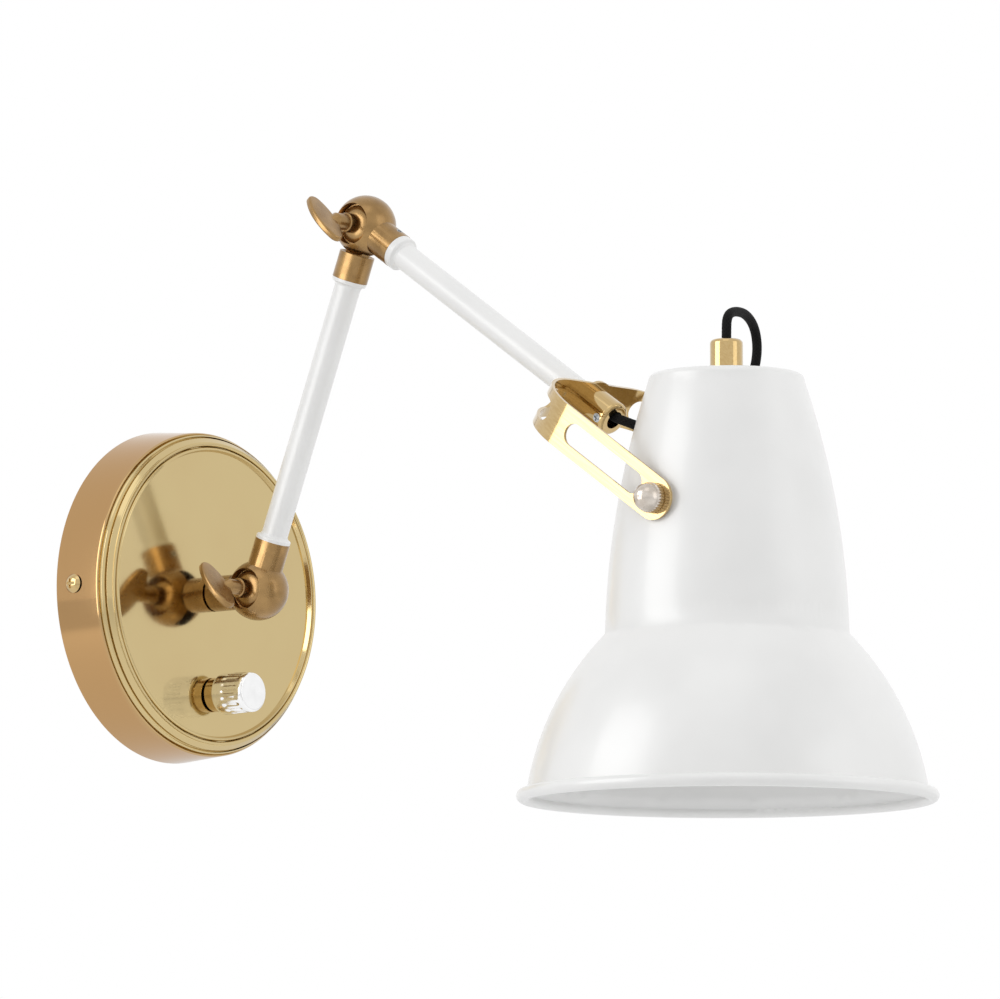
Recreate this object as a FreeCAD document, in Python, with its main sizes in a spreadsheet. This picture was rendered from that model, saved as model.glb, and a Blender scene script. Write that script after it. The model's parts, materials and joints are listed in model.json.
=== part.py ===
import FreeCAD, Part
import Sketcher
import math
import os

# Articulating wall lamp, in millimetres.
# The wall is the plane Y = 0, the lamp reaches out along -Y and +Z is up.
# The origin is the centre of the backplate's rear face, which lies on the wall.

Vector = FreeCAD.Vector
doc = FreeCAD.newDocument("WallLamp")
sheet = doc.addObject("Spreadsheet::Sheet", "Sizes")


class Size:
    """A length or angle that keeps the sheet formula it came from."""

    def __init__(self, value, formula):
        self.value = float(value)
        self.formula = formula

    def combine(self, other, sign, swap=False):
        if not isinstance(other, Size):
            other = Size(other, repr(float(other)))
        first, second = (other, self) if swap else (self, other)
        results = {
            "+": lambda a, b: a + b,
            "-": lambda a, b: a - b,
            "*": lambda a, b: a * b,
            "/": lambda a, b: a / b,
        }
        value = results[sign](first.value, second.value)
        return Size(value, f"({first.formula} {sign} {second.formula})")

    def __add__(self, other):
        return self.combine(other, "+")

    def __radd__(self, other):
        return self.combine(other, "+", swap=True)

    def __sub__(self, other):
        return self.combine(other, "-")

    def __rsub__(self, other):
        return self.combine(other, "-", swap=True)

    def __mul__(self, other):
        return self.combine(other, "*")

    def __rmul__(self, other):
        return self.combine(other, "*", swap=True)

    def __truediv__(self, other):
        return self.combine(other, "/")

    def __neg__(self):
        return Size(-self.value, f"(0 - {self.formula})")


def sine(angle):
    return Size(math.sin(math.radians(angle.value)), f"sin({angle.formula} * 1 deg)")


def cosine(angle):
    return Size(math.cos(math.radians(angle.value)), f"cos({angle.formula} * 1 deg)")


def other_side(long_side, short_side):
    """The third side of a right triangle, from its longest side and one short side."""
    value = math.sqrt(long_side.value ** 2 - short_side.value ** 2)
    square = f"{long_side.formula} * {long_side.formula} - {short_side.formula} * {short_side.formula}"
    return Size(value, f"sqrt({square})")


zero = Size(0, "0")
full_turn = 360


# ---------------------------------------------------------------- driving sizes

driving_sizes = {
    # backplate
    "plateDiameter": 120.0,
    "plateDraft": 1.6,
    "plateDepth": 18.2,
    "plateFaceInset": 5.0,
    "plateFaceDepth": 22.5,
    "plateStep": 1.45,
    "plateCorner": 1.0,
    "plateWall": 1.2,
    # wall bracket and side screws
    "bracketThickness": 1.5,
    "bracketWidth": 20.0,
    "earClearance": 0.4,
    "bracketSlotSpacing": 60.0,
    "bracketSlotWidth": 4.6,
    "bracketSlotTravel": 8.0,
    "bracketEyeDiameter": 26.0,
    "bracketCableHole": 16.0,
    "earWidth": 12.0,
    "earLength": 14.0,
    "sideScrewDiameter": 4.0,
    "sideScrewHeadDiameter": 7.0,
    "sideScrewHeadHeight": 1.9,
    "sideScrewDepth": 7.6,
    "sideScrewLength": 8.0,
    "screwHoleClearance": 0.2,
    "crossWidth": 0.9,
    "crossLength": 3.6,
    "crossDepth": 0.9,
    # terminal block
    "terminalLength": 26.0,
    "terminalWidth": 14.0,
    "terminalHeight": 10.5,
    "terminalRise": 22.0,
    "terminalPitch": 8.0,
    "terminalScrewDiameter": 3.4,
    "terminalScrewSink": 1.2,
    "terminalScrewLength": 4.0,
    "terminalWireHole": 3.0,
    "terminalFoot": 4.0,
    # dimmer
    "dimmerDrop": 36.5,
    "dimmerBodyDiameter": 24.0,
    "dimmerBodyDepth": 14.0,
    "dimmerBushDiameter": 7.0,
    "dimmerNutDiameter": 12.4,
    "dimmerNutHeight": 5.0,
    "dimmerShaftDiameter": 5.0,
    "dimmerShaftGrip": 8.0,
    "dimmerShaftSeat": 6.0,
    "dimmerKnobDiameter": 13.3,
    "dimmerKnobLength": 12.6,
    "dimmerKnobGap": 0.4,
    "dimmerKnobEdge": 0.7,
    "fluteCount": 18,
    "fluteDiameter": 1.5,
    "fluteDepth": 0.4,
    "fluteBase": 3.6,
    "fluteLength": 6.3,
    # knuckles, which are alike at the wall and at the elbow
    "ballDiameter": 21.8,
    "socketDiameter": 12.8,
    "socketReach": 18.6,
    "socketBoreDepth": 7.4,
    "cableHoleDiameter": 4.6,
    "wirePassage": 2.4,
    "knuckleSlot": 5.2,
    "slotFirstAngle": 73.0,
    "slotLastAngle": 161.0,
    "slotSideGap": 0.3,
    "tongueThickness": 3.8,
    "tongueEyeDiameter": 13.0,
    "tongueNeckWidth": 8.0,
    "tongueSideGap": 0.1,
    "tongueEndGap": 0.6,
    "cupGap": 1.4,
    "cupLength": 20.2,
    "recessDiameter": 14.8,
    "recessFloor": 4.7,
    "screwShankDiameter": 4.0,
    "runningGap": 0.05,
    "domeDiameter": 13.6,
    "domeHeight": 2.6,
    "domeEdge": 0.6,
    "domeCurve": 5.4,
    "frictionWasherDiameter": 12.0,
    # wing screws
    "wingCollarDiameter": 7.0,
    "wingCollarHeight": 4.4,
    "wingNeckDiameter": 5.8,
    "wingNeckEnd": 19.6,
    "wingLength": 21.0,
    "wingWidth": 10.6,
    "wingCentre": 22.4,
    "wingThickness": 2.3,
    "wingTip": 3.2,
    "wingEdge": 0.7,
    "wingTurn": 38.5,
    # arms
    "wallToBall": 43.0,
    "lowerLean": 21.6,
    "lowerLength": 136.9,
    "upperDrop": 34.7,
    "upperLength": 198.9,
    "tubeDiameter": 9.5,
    "tubeWall": 1.0,
    "tubeInsertion": 7.0,
    "collarDiameter": 12.6,
    "lowerCollarHeight": 1.4,
    "upperCollarHeight": 2.8,
    "collarEdge": 0.3,
    "collarFlare": 1.0,
    "collarLip": 0.1,
    "cableDiameter": 4.4,
    # stem on the plate
    "stemPlateGap": 0.3,
    "nippleDiameter": 9.9,
    "nippleBore": 5.4,
    "lockNutWidth": 15.0,
    "lockNutHeight": 3.0,
    "springWasherDiameter": 17.0,
    "springWasherThickness": 0.8,
    # fork
    "forkWidth": 15.0,
    "forkThickness": 1.2,
    "forkBendRadius": 22.8,
    "forkClearance": 0.35,
    "forkDepth": 72.1,
    "forkEyeDiameter": 16.8,
    "forkSlotWidth": 7.9,
    "forkSlotNear": 46.6,
    "forkSlotFar": 6.8,
    "bendSlotStart": 20.2,
    "bendSlotRise": 16.0,
    "endSocketDiameter": 12.5,
    "endSocketLength": 11.8,
    "endSocketBore": 6.6,
    "endSocketBoreDepth": 6.4,
    "forkNippleBore": 4.8,
    "forkNippleGrip": 5.0,
    "forkNippleInTube": 9.0,
    "endSocketEdge": 1.5,
    "setScrewDiameter": 3.2,
    "setScrewTurn": 12.0,
    "setScrewFromEnd": 2.9,
    "setScrewLength": 2.0,
    "knuckleScrewDiameter": 2.4,
    "knuckleScrewFromEnd": 3.6,
    "keyWidth": 0.7,
    "keyDepth": 0.6,
    "keyRim": 0.45,
    # clamp screws of the shade
    "clampKnobDiameter": 10.5,
    "clampKnurlLength": 2.9,
    "clampDomeHeight": 4.9,
    "clampShankDiameter": 4.0,
    "clampHeadGap": 0.1,
    "clampNutDiameter": 9.0,
    "clampNutNeck": 6.4,
    "clampNutFlange": 1.2,
    "clampNutDepth": 6.5,
    "knurlCount": 30,
    "knurlDepth": 0.35,
    "spacerDiameter": 8.0,
    "spacerGap": 0.05,
    # shade, with heights measured from the clamp screws' axis
    "shadeTop": 46.3,
    "shadeTopRadius": 26.9,
    "shadeTopCorner": 2.4,
    "shadeNeckCurve": 300.0,
    "shadeWaistRadius": 41.9,
    "shadeWaistDrop": 43.4,
    "shadeBellCurve": 99.0,
    "shadeBellRadius": 68.9,
    "shadeBellDrop": 98.0,
    "shadeWall": 1.2,
    "rimOverhang": 1.2,
    "rimBelow": 0.9,
    "rimBead": 4.5,
    # gland and lamp holder
    "glandDiameter": 11.4,
    "glandHeight": 12.1,
    "glandBore": 4.2,
    "glandThread": 5.0,
    "glandEdge": 1.6,
    "shadeNippleDiameter": 7.8,
    "shadeNippleBore": 4.2,
    "shadeNippleDrop": 12.0,
    "shadeLockNutWidth": 14.0,
    "shadeLockNutHeight": 3.0,
    "holderCapDiameter": 28.0,
    "holderCapHeight": 14.0,
    "holderDiameter": 26.0,
    "holderLength": 27.0,
    "holderBore": 15.0,
    "holderWall": 1.8,
    "lampCapDiameter": 14.0,
    "lampCapLength": 20.0,
    "lampCapProud": 1.5,
    "lampGlassDiameter": 45.0,
    "lampNeckDiameter": 14.6,
    "lampGlassLength": 54.0,
    "lampGlassWall": 1.0,
    # cord
    "cordDiameter": 3.4,
    "cordStart": 6.0,
}


def fill_sheet(values):
    """Writes each driving size in a row of the sheet and returns them as Size objects."""
    named = {}
    for row, (alias, number) in enumerate(values.items(), start=1):
        sheet.set(f"A{row}", alias)
        sheet.set(f"B{row}", repr(number))
        sheet.setAlias(f"B{row}", alias)
        named[alias] = Size(number, f"Sizes.{alias}")
    doc.recompute()
    return named


S = fill_sheet(driving_sizes)


# ---------------------------------------------------------------- drawing helpers

def origin_feature(body, role):
    return next(item for item in body.Origin.OriginFeatures if item.Role == role)


def new_body(label):
    body = doc.addObject("PartDesign::Body", f"Body_{label}")
    body.Label = label
    return body


def new_sketch(body, plane="XY_Plane", offset=zero):
    """A sketch on one of the body's origin planes, moved along the plane's normal by offset."""
    sketch = body.newObject("Sketcher::SketchObject", "Sketch")
    sketch.AttachmentSupport = [(origin_feature(body, plane), "")]
    sketch.MapMode = "FlatFace"
    sketch.AttachmentOffset = FreeCAD.Placement(Vector(0, 0, offset.value), FreeCAD.Rotation())
    if offset.formula != "0":
        sketch.setExpression("AttachmentOffset.Base.z", offset.formula)
    return sketch


def bind(sketch, kind, *arguments, size):
    """Adds a dimension to the sketch and ties it to the sheet."""
    number = sketch.addConstraint(Sketcher.Constraint(kind, *arguments, size.value))
    if size.formula != "0":
        sketch.setExpression(f"Constraints[{number}]", size.formula)


def as_size(value):
    return value if isinstance(value, Size) else Size(value, repr(float(value)))


def arc_between(start, end, radius, side):
    """The short arc from start to end whose centre lies on the given side of the way."""
    chord = end - start
    half = chord.Length / 2
    height = math.sqrt(max(radius ** 2 - half ** 2, 0))
    left = Vector(-chord.y, chord.x, 0).normalize()
    towards_centre = left if side == "left" else -left
    middle = start + chord / 2 + towards_centre * (height - radius)
    return Part.Arc(start, middle, end)


def draw_loop(sketch, corners):
    """Closed outline. A corner is (x, y), or (x, y, radius, side) where an arc leaves it."""
    corners = [tuple(as_size(v) if index < 3 else v for index, v in enumerate(c)) for c in corners]
    first = sketch.GeometryCount
    count = len(corners)
    points = [Vector(c[0].value, c[1].value, 0) for c in corners]
    starts, ends = [], []
    for index, corner in enumerate(corners):
        start, end = points[index], points[(index + 1) % count]
        if len(corner) == 2:
            edge = sketch.addGeometry(Part.LineSegment(start, end), False)
            starts.append((edge, 1))
            ends.append((edge, 2))
        else:
            arc = arc_between(start, end, corner[2].value, corner[3])
            edge = sketch.addGeometry(arc, False)
            counter_clockwise = corner[3] == "left"
            starts.append((edge, 1 if counter_clockwise else 2))
            ends.append((edge, 2 if counter_clockwise else 1))
    for index in range(count):
        following = (index + 1) % count
        sketch.addConstraint(Sketcher.Constraint("Coincident", *ends[index], *starts[following]))
    for index, corner in enumerate(corners):
        bind(sketch, "DistanceX", *starts[index], size=corner[0])
        bind(sketch, "DistanceY", *starts[index], size=corner[1])
        if len(corner) == 4:
            bind(sketch, "Radius", first + index, size=corner[2])


def draw_circle(sketch, x, y, radius):
    x, y, radius = as_size(x), as_size(y), as_size(radius)
    edge = sketch.addGeometry(Part.Circle(Vector(x.value, y.value, 0), Vector(0, 0, 1), radius.value), False)
    bind(sketch, "DistanceX", edge, 3, size=x)
    bind(sketch, "DistanceY", edge, 3, size=y)
    bind(sketch, "Radius", edge, size=radius)


def box_corners(low_x, low_y, high_x, high_y):
    return [(low_x, low_y), (high_x, low_y), (high_x, high_y), (low_x, high_y)]


def revolve(body, corners):
    """Turns an outline in the XZ plane (x is the radius, y the height) about the Z axis."""
    sketch = new_sketch(body, "XZ_Plane")
    draw_loop(sketch, corners)
    feature = body.newObject("PartDesign::Revolution", "Revolution")
    feature.Profile = sketch
    feature.ReferenceAxis = (sketch, ["V_Axis"])
    feature.Angle = full_turn
    return feature


def pad(body, length, loops=(), circles=(), plane="XY_Plane", offset=zero, both_ways=False):
    sketch = new_sketch(body, plane, offset)
    for corners in loops:
        draw_loop(sketch, corners)
    for circle in circles:
        draw_circle(sketch, *circle)
    feature = body.newObject("PartDesign::Pad", "Pad")
    feature.Profile = sketch
    length = as_size(length)
    feature.Length = length.value
    feature.setExpression("Length", length.formula)
    feature.Midplane = both_ways
    return feature


def pocket(body, length, loops=(), circles=(), plane="XY_Plane", offset=zero, both_ways=False, upward=False):
    """Cuts against the sketch's normal, or along it when upward is true."""
    sketch = new_sketch(body, plane, offset)
    for corners in loops:
        draw_loop(sketch, corners)
    for circle in circles:
        draw_circle(sketch, *circle)
    feature = body.newObject("PartDesign::Pocket", "Pocket")
    feature.Profile = sketch
    length = as_size(length)
    feature.Length = length.value
    feature.setExpression("Length", length.formula)
    feature.Midplane = both_ways
    feature.Reversed = upward
    return feature


def repeat_round(body, feature, count):
    """Repeats a cut evenly round the body's Z axis."""
    pattern = body.newObject("PartDesign::PolarPattern", "PolarPattern")
    pattern.Originals = [feature]
    pattern.Axis = (origin_feature(body, "Z_Axis"), [""])
    pattern.Angle = full_turn
    pattern.Occurrences = int(count.value)
    pattern.setExpression("Occurrences", count.formula)
    body.Tip = pattern
    return pattern


def tube_corners(inner, outer, low, high):
    return [(inner, low), (outer, low), (outer, high), (inner, high)]


def ring(label, inner, outer, low, high):
    body = new_body(label)
    revolve(body, tube_corners(inner, outer, low, high))
    return body


def rod(label, radius, low, high):
    body = new_body(label)
    revolve(body, tube_corners(zero, radius, low, high))
    return body


def turned(axis, angle):
    return FreeCAD.Rotation(Vector(*axis), angle)


def placed(point, rotation):
    return FreeCAD.Placement(point, rotation)


nodes = {}


def keep(body, placement):
    """Places a finished sub-part and lists it for export under its label."""
    body.Placement = placement
    nodes[body.Label] = body
    return body


def keep_group(label, bodies_and_places):
    """Several identical fasteners as one sub-part of separate solids."""
    for body, placement in bodies_and_places:
        body.Placement = placement
    group = doc.addObject("Part::Compound", f"Group_{label}")
    group.Label = label
    group.Links = [body for body, _ in bodies_and_places]
    nodes[label] = group
    return group


# ---------------------------------------------------------------- places and directions

# Each frame's Z axis runs along the piece: out of the wall, along an arm or up the shade.
wall_centre = Vector(0, 0, 0)
out_of_wall = turned((1, 0, 0), 90)

lower_ball = Vector(0, -S["wallToBall"].value, 0)
lower_tilt = turned((1, 0, 0), S["lowerLean"].value)
lower_way = lower_tilt.multVec(Vector(0, 0, 1))
elbow = lower_ball + lower_way * S["lowerLength"].value

upper_tilt = turned((1, 0, 0), 90 + S["upperDrop"].value)
upper_way = upper_tilt.multVec(Vector(0, 0, 1))
clamp_axis = elbow + upper_way * S["upperLength"].value

flipped = turned((1, 0, 0), 180)
to_left = turned((0, 1, 0), -90)
to_right = turned((0, 1, 0), 90)

wall_frame = placed(wall_centre, out_of_wall)
lower_frame = placed(lower_ball, lower_tilt)
upper_frame = placed(elbow, upper_tilt)
shade_frame = placed(clamp_axis, FreeCAD.Rotation())

ball_radius = S["ballDiameter"] / 2
socket_radius = S["socketDiameter"] / 2
tube_radius = S["tubeDiameter"] / 2
tube_bore = tube_radius - S["tubeWall"]
shank_radius = S["screwShankDiameter"] / 2
shank_hole = shank_radius + S["runningGap"]


# ---------------------------------------------------------------- backplate and what it holds

plate_back = S["plateDiameter"] / 2
plate_front = plate_back - S["plateDraft"]
plate_inside = S["plateFaceDepth"] - S["plateWall"]
nipple_radius = S["nippleDiameter"] / 2


def plate_radius_at(depth):
    """Outer radius of the drafted side wall at a depth from the wall."""
    return plate_back - (plate_back - plate_front) * depth / S["plateDepth"]


def make_backplate():
    """Spun shell: drafted side, rounded corner, two fine steps and a raised flat face."""
    wall = S["plateWall"]
    corner = S["plateCorner"]
    shoulder = S["plateDepth"]
    face = plate_front - S["plateFaceInset"]
    top = S["plateFaceDepth"]
    rise = (top - shoulder) / 3
    curl = rise / 2
    first = plate_front - S["plateStep"]
    second = first - S["plateStep"]
    hole = nipple_radius + S["runningGap"]
    body = new_body("backplate")
    revolve(body, [
        (plate_back - wall, zero),
        (plate_back, zero),
        (plate_front, shoulder - corner, corner, "left"),
        (plate_front - corner, shoulder),
        (first, shoulder),
        (first, shoulder + curl, curl, "left"),
        (first - curl, shoulder + rise),
        (second, shoulder + rise),
        (second, shoulder + rise + curl, curl, "left"),
        (second - curl, shoulder + rise * 2),
        (face, shoulder + rise * 2),
        (face, top - curl, curl, "left"),
        (face - curl, top),
        (hole, top),
        (hole, plate_inside),
        (face - wall * 2, plate_inside),
        (plate_front - wall - corner, shoulder - wall),
    ])
    pocket(body, wall * 3, offset=top + wall,
           circles=[(zero, -S["dimmerDrop"], S["dimmerBushDiameter"] / 2 + S["screwHoleClearance"])])
    pocket(body, S["plateDiameter"] * 1.1, plane="YZ_Plane", both_ways=True,
           circles=[(zero, S["sideScrewDepth"], S["sideScrewDiameter"] / 2 + S["screwHoleClearance"])])
    return keep(body, wall_frame)


def slot_loop(centre_x, centre_y, travel, width, along_x=True):
    """Outline of a round-ended slot. travel is the distance between its end centres."""
    centre_x, centre_y = as_size(centre_x), as_size(centre_y)
    half, r = travel / 2, width / 2
    across = [
        (half, -r, r, "left"), (half + r, zero, r, "left"), (half, r),
        (-half, r, r, "left"), (-half - r, zero, r, "left"), (-half, -r),
    ]
    if not along_x:
        across = [(-c[1], c[0]) + tuple(c[2:]) for c in across]
    return [(centre_x + c[0], centre_y + c[1]) + tuple(c[2:]) for c in across]


def make_bracket():
    """Steel strap on the wall with a round eye, a tab for the terminals and two bent ears."""
    thickness = S["bracketThickness"]
    ear_top = S["earLength"]
    inside_back = plate_back - S["plateWall"]
    inside_front = plate_front - S["plateWall"] - S["plateCorner"]
    share = ear_top / (S["plateDepth"] - S["plateWall"])
    inside_at_ear = inside_back - (inside_back - inside_front) * share
    reach = other_side(inside_at_ear - S["earClearance"], S["earWidth"] / 2)
    half_width = S["bracketWidth"] / 2
    body = new_body("wall_bracket")
    pad(body, thickness, loops=[box_corners(-reach, -half_width, reach, half_width)])
    pad(body, thickness, circles=[(zero, zero, S["bracketEyeDiameter"] / 2)])
    tab_side = S["terminalLength"] / 2
    tab_end = S["terminalRise"] + S["terminalWidth"] / 2
    pad(body, thickness, loops=[box_corners(-tab_side, zero, tab_side, tab_end)])
    half_ear = S["earWidth"] / 2
    for inner, outer in ((reach - thickness, reach), (-reach, thickness - reach)):
        pad(body, ear_top, loops=[box_corners(inner, -half_ear, outer, half_ear)])
    pocket(body, thickness * 2, upward=True, circles=[(zero, zero, S["bracketCableHole"] / 2)])
    for centre in (S["bracketSlotSpacing"] / 2, -S["bracketSlotSpacing"] / 2):
        pocket(body, thickness * 2, upward=True,
               loops=[slot_loop(centre, zero, S["bracketSlotTravel"], S["bracketSlotWidth"])])
    pocket(body, S["plateDiameter"], plane="YZ_Plane", both_ways=True,
           circles=[(zero, S["sideScrewDepth"], S["sideScrewDiameter"] / 2)])
    return keep(body, wall_frame)


def cross_recess(body, height):
    """Cross-shaped driver recess in a screw head whose top is at the given height."""
    half_width, half_length = S["crossWidth"] / 2, S["crossLength"] / 2
    for x, y in ((half_width, half_length), (half_length, half_width)):
        pocket(body, S["crossDepth"], loops=[box_corners(-x, -y, x, y)], offset=height)


def make_side_screw(label):
    shank, head = S["sideScrewDiameter"] / 2, S["sideScrewHeadDiameter"] / 2
    height = S["sideScrewHeadHeight"]
    curve = (head * head + height * height) / (height * 2)
    body = new_body(label)
    revolve(body, [
        (zero, -S["sideScrewLength"]), (shank, -S["sideScrewLength"]), (shank, zero),
        (head, zero, curve, "left"), (zero, height),
    ])
    cross_recess(body, height)
    return body


def make_side_screws():
    seat = plate_radius_at(S["sideScrewDepth"] - S["sideScrewHeadDiameter"] / 2)
    depth = S["sideScrewDepth"].value
    keep_group("backplate_side_screws", [
        (make_side_screw("side_screw_left"), placed(Vector(-seat.value, -depth, 0), to_left)),
        (make_side_screw("side_screw_right"), placed(Vector(seat.value, -depth, 0), to_right)),
    ])


terminal_places = [S["terminalPitch"] * step for step in (-1, 0, 1)]
terminal_top = S["bracketThickness"] + S["terminalHeight"]


def make_terminals():
    half_length, half_width = S["terminalLength"] / 2, S["terminalWidth"] / 2
    rise = S["terminalRise"]
    foot = S["terminalFoot"]
    screw = S["terminalScrewDiameter"] / 2
    body = new_body("terminal_block")
    pad(body, foot, offset=S["bracketThickness"],
        loops=[box_corners(-half_length, rise - half_width, half_length, rise + half_width)])
    for place in terminal_places:
        side = S["terminalPitch"] * 0.42
        pad(body, S["terminalHeight"], offset=S["bracketThickness"],
            loops=[box_corners(place - side, rise - half_width, place + side, rise + half_width)])
        pocket(body, S["terminalScrewSink"] + S["terminalScrewLength"], offset=terminal_top,
               circles=[(place, rise, screw)])
    pocket(body, (rise + half_width) * 2, plane="XZ_Plane", both_ways=True, circles=[
        (place, S["bracketThickness"] + foot * 0.75, S["terminalWireHole"] / 2) for place in terminal_places
    ])
    keep(body, wall_frame)
    screws = []
    for index, place in enumerate(terminal_places):
        top = terminal_top - S["terminalScrewSink"]
        pin = new_body(f"terminal_screw_{index + 1}")
        revolve(pin, tube_corners(zero, screw, -S["terminalScrewLength"], zero))
        half_key = S["keyWidth"] / 2
        pocket(pin, S["keyDepth"], loops=[box_corners(-screw * 2, -half_key, screw * 2, half_key)])
        spot = out_of_wall.multVec(Vector(place.value, rise.value, top.value))
        screws.append((pin, placed(spot, out_of_wall)))
    keep_group("terminal_screws", screws)


dimmer_nut_top = S["plateFaceDepth"] + S["dimmerNutHeight"]
dimmer_knob_base = dimmer_nut_top + S["dimmerKnobGap"]
dimmer_frame = placed(Vector(0, 0, -S["dimmerDrop"].value), out_of_wall)


def make_dimmer():
    bush = S["dimmerBushDiameter"] / 2
    bore = S["dimmerShaftDiameter"] / 2 + S["runningGap"]
    low = plate_inside - S["dimmerBodyDepth"]
    seat = plate_inside - S["dimmerShaftSeat"]
    bush_top = dimmer_nut_top - S["plateWall"] / 2
    body = new_body("dimmer_body")
    revolve(body, [
        (zero, low), (S["dimmerBodyDiameter"] / 2, low), (S["dimmerBodyDiameter"] / 2, plate_inside),
        (bush, plate_inside), (bush, bush_top), (bore, bush_top), (bore, seat), (zero, seat),
    ])
    keep(body, dimmer_frame)

    nut = S["dimmerNutDiameter"] / 2
    edge = S["plateWall"] / 3
    body = new_body("dimmer_nut")
    revolve(body, [
        (bush, S["plateFaceDepth"]), (nut, S["plateFaceDepth"]), (nut, dimmer_nut_top - edge),
        (nut - edge, dimmer_nut_top), (bush, dimmer_nut_top),
    ])
    keep(body, dimmer_frame)

    shaft = S["dimmerShaftDiameter"] / 2
    shaft_top = dimmer_knob_base + S["dimmerShaftGrip"]
    keep(rod("dimmer_shaft", shaft, seat + S["dimmerKnobGap"], shaft_top), dimmer_frame)

    knob = S["dimmerKnobDiameter"] / 2
    edge = S["dimmerKnobEdge"]
    top = dimmer_knob_base + S["dimmerKnobLength"]
    body = new_body("dimmer_knob")
    revolve(body, [
        (shaft, dimmer_knob_base), (knob - edge / 2, dimmer_knob_base), (knob, dimmer_knob_base + edge),
        (knob, top - edge), (knob - edge, top), (zero, top), (zero, shaft_top), (shaft, shaft_top),
    ])
    flute = S["fluteDiameter"] / 2
    cut = pocket(body, S["fluteLength"], upward=True, offset=dimmer_knob_base + S["fluteBase"],
                 circles=[(knob + flute - S["fluteDepth"], zero, flute)])
    repeat_round(body, cut, S["fluteCount"])
    keep(body, dimmer_frame)


# ---------------------------------------------------------------- knuckles

cup_radius = ball_radius + S["cupGap"]
eye_radius = S["tongueEyeDiameter"] / 2
dome_top = S["recessFloor"] + S["domeHeight"]


def slot_sector(side):
    """The part of the slot that the tongue's neck sweeps, bounded by the neck's two end positions."""
    half_width = S["tongueNeckWidth"] / 2 + S["slotSideGap"]
    outside = S["ballDiameter"] * 0.75
    first, last = S["slotFirstAngle"], S["slotLastAngle"]
    middle = (first + last) / 2
    first_foot = (-cosine(first) * half_width, sine(first) * half_width)
    last_foot = (cosine(last) * half_width, -sine(last) * half_width)
    corners = [
        first_foot,
        (first_foot[0] + sine(first) * outside, first_foot[1] + cosine(first) * outside),
        (sine(middle) * outside, cosine(middle) * outside),
        (last_foot[0] + sine(last) * outside, last_foot[1] + cosine(last) * outside),
        last_foot,
    ]
    return [(y * side, z) for y, z in corners]


def make_knuckle(label, placement, slot_side):
    """Ball and socket in one casting. The tongue's slot opens towards slot_side along Y."""
    joint_height = other_side(ball_radius, socket_radius)
    bore_floor = S["socketReach"] - S["socketBoreDepth"]
    cable = S["cableHoleDiameter"] / 2
    cable_floor = eye_radius - cable
    body = new_body(label)
    revolve(body, [
        (zero, -ball_radius, ball_radius, "left"), (socket_radius, joint_height),
        (socket_radius, S["socketReach"]), (tube_radius, S["socketReach"]),
        (tube_radius, bore_floor), (cable, bore_floor), (cable, cable_floor), (zero, cable_floor),
    ])
    pocket(body, S["knuckleSlot"], plane="YZ_Plane", both_ways=True, loops=[slot_sector(slot_side)])
    pocket(body, S["knuckleSlot"], plane="YZ_Plane", both_ways=True,
           circles=[(zero, zero, eye_radius + S["tongueEndGap"])])
    pocket(body, S["ballDiameter"], plane="YZ_Plane", offset=-S["recessFloor"],
           circles=[(zero, zero, S["recessDiameter"] / 2)])
    pocket(body, S["ballDiameter"] * 1.1, plane="YZ_Plane", both_ways=True, circles=[(zero, zero, shank_hole)])
    screw_height = S["socketReach"] - S["knuckleScrewFromEnd"]
    pocket(body, socket_radius * 2, plane="XZ_Plane",
           circles=[(zero, screw_height, S["knuckleScrewDiameter"] / 2)])
    return keep(body, placement)


def make_cup(label, placement, end, bore, bore_depth):
    """Cup that seats on the ball, with the tongue that enters the ball's slot."""
    neck = S["tongueNeckWidth"] / 2
    body = new_body(label)
    revolve(body, [
        (zero, cup_radius, cup_radius, "right"), (socket_radius, other_side(cup_radius, socket_radius)),
        (socket_radius, end), (bore, end), (bore, end - bore_depth), (zero, end - bore_depth),
    ])
    neck_start = other_side(eye_radius, neck)
    neck_end = (cup_radius + end - bore_depth) / 2
    pad(body, S["tongueThickness"], plane="YZ_Plane", both_ways=True, circles=[(zero, zero, shank_hole)], loops=[[
        (neck, neck_end), (-neck, neck_end), (-neck, neck_start, eye_radius, "left"),
        (zero, -eye_radius, eye_radius, "left"), (neck, neck_start),
    ]])
    passage = S["wirePassage"] / 2
    pocket(body, end - eye_radius, upward=True, offset=eye_radius, circles=[(zero, zero, passage)])
    return keep(body, placement)


def make_joint_washers(prefix, placement):
    """The domed washer under the wing screw and the two flat washers beside the tongue."""
    outer, edge, height = S["domeDiameter"] / 2, S["domeEdge"], S["domeHeight"]
    floor = S["recessFloor"]
    body = new_body(f"{prefix}_domed_washer")
    revolve(body, [
        (shank_hole, floor), (outer, floor), (outer, floor + edge, S["domeCurve"], "left"),
        (S["wingCollarDiameter"] / 2, floor + height), (shank_hole, floor + height),
    ])
    outward = FreeCAD.Placement(placement.Base, placement.Rotation.multiply(to_left))
    keep(body, outward)
    half_slot = S["knuckleSlot"] / 2
    inner_face = S["tongueThickness"] / 2 + S["tongueSideGap"]
    washers = []
    for side, low, high in (("near", inner_face, half_slot), ("far", -half_slot, -inner_face)):
        flat = ring(f"{prefix}_friction_washer_{side}", shank_hole, S["frictionWasherDiameter"] / 2, low, high)
        washers.append((flat, outward))
    keep_group(f"{prefix}_friction_washers", washers)


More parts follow.
